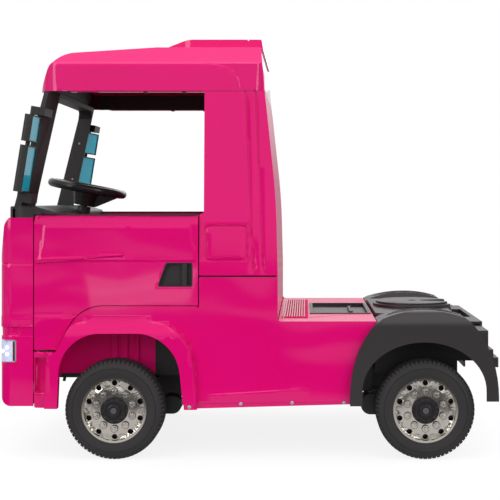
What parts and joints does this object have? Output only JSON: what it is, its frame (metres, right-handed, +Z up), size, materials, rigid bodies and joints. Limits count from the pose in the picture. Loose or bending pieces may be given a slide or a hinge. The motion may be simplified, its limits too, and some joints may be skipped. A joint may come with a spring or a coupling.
{
  "type": "ride-on toy truck tractor unit",
  "caption": "Child's battery ride-on truck: open cab-over cab with doors and sleeper, steered front wheels, rear deck with coupling plate and fenders.",
  "frame": {"origin": "on the ground, below the middle of the whole truck", "axes": "+X towards the tail, +Y towards the driver's right, +Z up; the nose points along -X"},
  "size_m": [1.1886, 0.7774, 1.012],
  "materials": {
    "pink_body": "moulded polypropylene with a gloss paint coat, hot pink",
    "black_plastic": "moulded polypropylene, satin black",
    "tyre_rubber": "foamed EVA, matt",
    "rim_chrome": "vacuum-metallised plastic, warm silver",
    "cap_plastic": "moulded, satin black",
    "linkage_steel": "black painted steel",
    "gearbox_plastic": "moulded nylon housing",
    "mirror_plastic": "moulded, satin black",
    "mirror_pane": "reflective foil behind clear plastic",
    "wheel_grip": "moulded, semi-gloss black",
    "seat_plastic": "moulded, grained",
    "battery_case": "moulded case",
    "lamp_lens": "clear moulded lens over a metallised bowl",
    "tail_lens": "red moulded lens"
  },
  "bodies": {
    "root": {"arch_liner_left": "pink_body", "arch_liner_right": "pink_body", "battery": "battery_case", "coupling_plate": "black_plastic", "dashboard": "black_plastic", "deck_plate": "pink_body", "floor_pan": "black_plastic", "front_axle_beam": "linkage_steel", "front_fascia": "pink_body", "grille": "black_plastic", "headlamps": "lamp_lens", "mirror_glass": "mirror_pane", "mirror_left": "mirror_plastic", "mirror_right": "mirror_plastic", "rear_axle": "gearbox_plastic", "rear_fender_left": "black_plastic", "rear_fender_right": "black_plastic", "rear_frame": "black_plastic", "rear_wall": "pink_body", "roof_liner": "black_plastic", "roof_shell": "pink_body", "seat_back": "seat_plastic", "seat_base": "seat_plastic", "service_bay": "black_plastic", "side_panel_left": "pink_body", "side_panel_right": "pink_body", "sleeper_side_left": "pink_body", "sleeper_side_right": "pink_body", "tail_lamps": "tail_lens", "tail_panel": "black_plastic", "windscreen_frame": "black_plastic"},
    "door_left": {"door_handle_left": "black_plastic", "door_left": "pink_body"},
    "door_right": {"door_handle_right": "black_plastic", "door_right": "pink_body"},
    "wheel_front_left": {"front_hub_cap_left": "cap_plastic", "front_rim_left": "rim_chrome", "front_tyre_left": "tyre_rubber"},
    "wheel_front_right": {"front_hub_cap_right": "cap_plastic", "front_rim_right": "rim_chrome", "front_tyre_right": "tyre_rubber"},
    "knuckle_left": {"knuckle_left": "gearbox_plastic"},
    "knuckle_right": {"knuckle_right": "gearbox_plastic"},
    "wheel_rear_left": {"rear_hub_cap_left": "cap_plastic", "rear_rim_left": "rim_chrome", "rear_tyre_left": "tyre_rubber"},
    "wheel_rear_right": {"rear_hub_cap_right": "cap_plastic", "rear_rim_right": "rim_chrome", "rear_tyre_right": "tyre_rubber"},
    "steering": {"steering_column": "linkage_steel", "steering_wheel": "wheel_grip"},
    "tie_rod": {"tie_rod": "linkage_steel"}
  },
  "joints": [
    {"name": "steering_turn", "type": "hinge", "parent": "root", "child": "steering", "pos_m": [-0.44475, 0, 0.648], "axis": [0.1822, 0, 0.9833], "range_deg": [-40, 40]},
    {"name": "knuckle_left_steer", "type": "hinge", "parent": "root", "child": "knuckle_left", "pos_m": [-0.31825, -0.232, 0.1175], "axis": [0, 0, 1], "range_deg": [-20, 20]},
    {"name": "knuckle_right_steer", "type": "hinge", "parent": "root", "child": "knuckle_right", "pos_m": [-0.31825, 0.232, 0.1175], "axis": [0, 0, 1], "range_deg": [-20, 20]},
    {"name": "tie_rod_swing", "type": "hinge", "parent": "knuckle_left", "child": "tie_rod", "pos_m": [-0.25825, -0.232, 0.149], "axis": [0, 0, 1], "range_deg": [-20, 20]},
    {"name": "wheel_front_left_spin", "type": "hinge", "parent": "knuckle_left", "child": "wheel_front_left", "pos_m": [-0.31825, -0.294, 0.1175], "axis": [0, 1, 0], "continuous": true},
    {"name": "wheel_front_right_spin", "type": "hinge", "parent": "knuckle_right", "child": "wheel_front_right", "pos_m": [-0.31825, 0.294, 0.1175], "axis": [0, 1, 0], "continuous": true},
    {"name": "wheel_rear_left_spin", "type": "hinge", "parent": "root", "child": "wheel_rear_left", "pos_m": [0.42175, -0.294, 0.1175], "axis": [0, 1, 0], "continuous": true},
    {"name": "wheel_rear_right_spin", "type": "hinge", "parent": "root", "child": "wheel_rear_right", "pos_m": [0.42175, 0.294, 0.1175], "axis": [0, 1, 0], "continuous": true},
    {"name": "door_left_hinge", "type": "hinge", "parent": "root", "child": "door_left", "pos_m": [-0.50125, -0.3155, 0.42], "axis": [0, 0, -1], "range_deg": [0, 62]},
    {"name": "door_right_hinge", "type": "hinge", "parent": "root", "child": "door_right", "pos_m": [-0.50125, 0.3155, 0.42], "axis": [0, 0, 1], "range_deg": [0, 62]}
  ],
  "couplings": [
    {"joint": "knuckle_left_steer", "follows": "steering_turn", "ratio": 0.5},
    {"joint": "knuckle_right_steer", "follows": "steering_turn", "ratio": 0.5},
    {"joint": "tie_rod_swing", "follows": "steering_turn", "ratio": -0.5}
  ]
}
